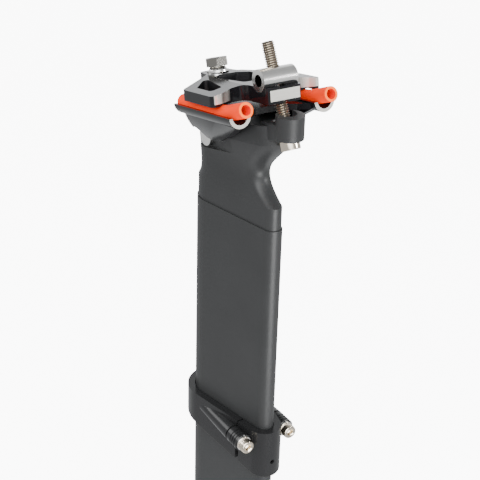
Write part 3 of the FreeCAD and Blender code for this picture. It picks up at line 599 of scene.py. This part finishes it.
def hose(side, rail):
    """Soft tube that stands in for a saddle rail: pinched under the wing, sprung up behind it."""
    node = side + "_rail_hose"
    low, high = span(node, rail, FORWARD)
    rings = []
    for index in range(HOSE_RINGS + 1):
        place = high + (low - high) * index / HOSE_RINGS
        past = max(0.0, HOSE_BEND_START - place)
        if past < HOSE_BEND_LENGTH:
            lift = HOSE_RISE * past * past / HOSE_BEND_LENGTH / 2
        else:
            lift = HOSE_RISE * (past - HOSE_BEND_LENGTH / 2)
        slope = HOSE_RISE * min(1.0, past / HOSE_BEND_LENGTH)
        pinch = 1 / (1 + math.exp((HOSE_BEND_START - PINCH_BEHIND - place) / PINCH_FADE_BEHIND))
        pinch *= 1 / (1 + math.exp((place - PINCH_AHEAD) / PINCH_FADE_AHEAD))
        rings.append((place, lift, slope, pinch))
    points = []
    for radius in (HOSE_RADIUS, HOSE_BORE):
        for place, lift, slope, pinch in rings:
            tilt = (UPWARD + FORWARD * slope).normalized()
            centre = rail + FORWARD * place + UPWARD * (lift - PINCH_DROP * pinch)
            for segment in range(HOSE_SEGMENTS):
                angle = math.tau * segment / HOSE_SEGMENTS
                up = math.sin(angle) * (1 - PINCH_FLATTER * pinch)
                out = math.cos(angle) * (1 + PINCH_WIDER * pinch)
                points.append(centre + LEFT * radius * out + tilt * radius * up)
    faces = []
    wall = (HOSE_RINGS + 1) * HOSE_SEGMENTS
    for ring in range(HOSE_RINGS):
        for segment in range(HOSE_SEGMENTS):
            here = ring * HOSE_SEGMENTS + segment
            beside = ring * HOSE_SEGMENTS + (segment + 1) % HOSE_SEGMENTS
            faces.append((here, beside, beside + HOSE_SEGMENTS, here + HOSE_SEGMENTS))
            faces.append((wall + beside, wall + here,
                          wall + here + HOSE_SEGMENTS, wall + beside + HOSE_SEGMENTS))
    for ring, flip in ((0, True), (HOSE_RINGS, False)):
        for segment in range(HOSE_SEGMENTS):
            here = ring * HOSE_SEGMENTS + segment
            beside = ring * HOSE_SEGMENTS + (segment + 1) % HOSE_SEGMENTS
            face = (here, beside, wall + beside, wall + here)
            faces.append(tuple(reversed(face)) if flip else face)
    piece = new_mesh(side + "_hose_tube", points, faces)
    # inner wall faces take the bore's painted shade, the cut ends the painted light
    for face in piece.data.polygons[:-2 * HOSE_SEGMENTS]:
        face.material_index = face.index % 2
    for face in piece.data.polygons[-2 * HOSE_SEGMENTS:]:
        face.material_index = 2
    bevel = piece.modifiers.new("cut ends", "BEVEL")
    bevel.width = 0.12 * MM
    bevel.segments = 3
    bevel.limit_method = "ANGLE"
    bevel.angle_limit = math.radians(50)
    dress(piece, "clamp", "orange_hose", node)
    piece.data.materials.append(HOSE_BORE_PAINTED_SHADE)
    piece.data.materials.append(HOSE_END_PAINTED_LIGHT)


hose("left", LEFT_RAIL)
hose("right", RIGHT_RAIL)


# ---------------------------------------------------------------- stage, light and camera

low_corner, high_corner = start_bounds
FLOOR_SIZE = 8.0
FLOOR_GAP = 0.0005
FLOOR_GLOW = 8.4
LIGHT_AIM_DROP = 0.04
head = Vector((0, 0, high_corner.z - LIGHT_AIM_DROP))
bpy.ops.mesh.primitive_plane_add(size=FLOOR_SIZE, location=(0, 0, low_corner.z - FLOOR_GAP))
floor = bpy.context.object
floor.name = "floor"
floor_mat, floor_tree, floor_shader = material("floor")
floor_tree.links.new(ramp(floor_tree, noise(floor_tree, 3, 2), (0.93, 0.93, 0.94), (0.95, 0.95, 0.95)),
                     floor_shader.inputs["Base Color"])
floor_shader.inputs["Roughness"].default_value = 0.8
floor_shader.inputs["Emission Color"].default_value = (1, 1, 1, 1)
floor_shader.inputs["Emission Strength"].default_value = FLOOR_GLOW
floor.data.materials.append(floor_mat)
floor.visible_diffuse = False
floor.visible_glossy = False
floor.visible_shadow = False


SOFTBOXES = (                                  # direction, cosine of its edge, softness, strength
    (Vector((-0.6, 0.42, 0.68)), 0.82, 0.16, 4.0),
    (Vector((0.84, -0.53, 0.14)), 0.86, 0.26, 1.0),
)
BACKDROP_STRENGTH = 9.0
STUDIO_WHITE = (0.97, 0.985, 1.0, 1)


def studio(zenith, horizon, below):
    """White studio, darker overhead, with a bright floor below and softboxes around the part."""
    world = bpy.data.worlds.new("studio")
    bpy.context.scene.world = world
    world.use_nodes = True
    tree = world.node_tree
    background = tree.nodes["Background"]
    strength = ramp(tree, soft_step(tree, along(tree, "Generated", (0, 0, 1)), 0.55, 0.6), horizon, zenith)
    depth = along(tree, "Generated", (0, 0, -1))
    strength = maths(tree, "ADD", strength, ramp(tree, soft_step(tree, depth, 0.72, 0.3), 0.0, below))
    for centre, edge, softness, power in SOFTBOXES:
        toward_box = along(tree, "Generated", centre.normalized())
        glow = ramp(tree, soft_step(tree, toward_box, edge, softness), 0.0, power)
        strength = maths(tree, "ADD", strength, glow)
    seen = tree.nodes.new("ShaderNodeLightPath").outputs["Is Camera Ray"]
    tree.links.new(ramp(tree, seen, strength, BACKDROP_STRENGTH), background.inputs["Strength"])
    background.inputs["Color"].default_value = STUDIO_WHITE


def area_light(name, size, power, spot, aim):
    data = bpy.data.lights.new(name, "AREA")
    data.size = size
    data.energy = power
    lamp = bpy.data.objects.new(name, data)
    bpy.context.scene.collection.objects.link(lamp)
    lamp.location = spot
    lamp.rotation_mode = "QUATERNION"
    lamp.rotation_quaternion = (Vector(aim) - Vector(spot)).to_track_quat("-Z", "Y")


studio(zenith=0.4, horizon=0.72, below=0.6)
area_light("key", 0.5, 3.5, (-0.55, 0.6, 0.8), head)
area_light("rear", 0.16, 4, (-0.62, -0.62, 0.42), head)
area_light("front", 0.5, 3, (0.6, 0.55, 0.5), head)
area_light("low", 0.2, 1.2, (-0.30, 0.02, 0.0), (-0.02, 0, 0.12))

VIEW_AZIMUTH = math.radians(32.45)     # from straight behind, round to the left side
VIEW_ELEVATION = math.radians(26.79)
VIEW_ROLL = math.radians(1.6)
VIEW_SPOT = Vector((-0.4160, 0.2654, 0.3618))
VIEW_LENS = 85.57

toward = Vector((-math.cos(VIEW_AZIMUTH) * math.cos(VIEW_ELEVATION),
                 math.sin(VIEW_AZIMUTH) * math.cos(VIEW_ELEVATION), math.sin(VIEW_ELEVATION)))
camera_data = bpy.data.cameras.new("camera")
camera_data.lens = VIEW_LENS
camera_data.clip_start = 0.02
camera_data.clip_end = 20
camera = bpy.data.objects.new("camera", camera_data)
bpy.context.scene.collection.objects.link(camera)
camera.rotation_mode = "QUATERNION"
camera.location = VIEW_SPOT
roll = Matrix.Rotation(VIEW_ROLL, 3, "Z").to_quaternion()
camera.rotation_quaternion = toward.to_track_quat("Z", "Y") @ roll
bpy.context.scene.camera = camera
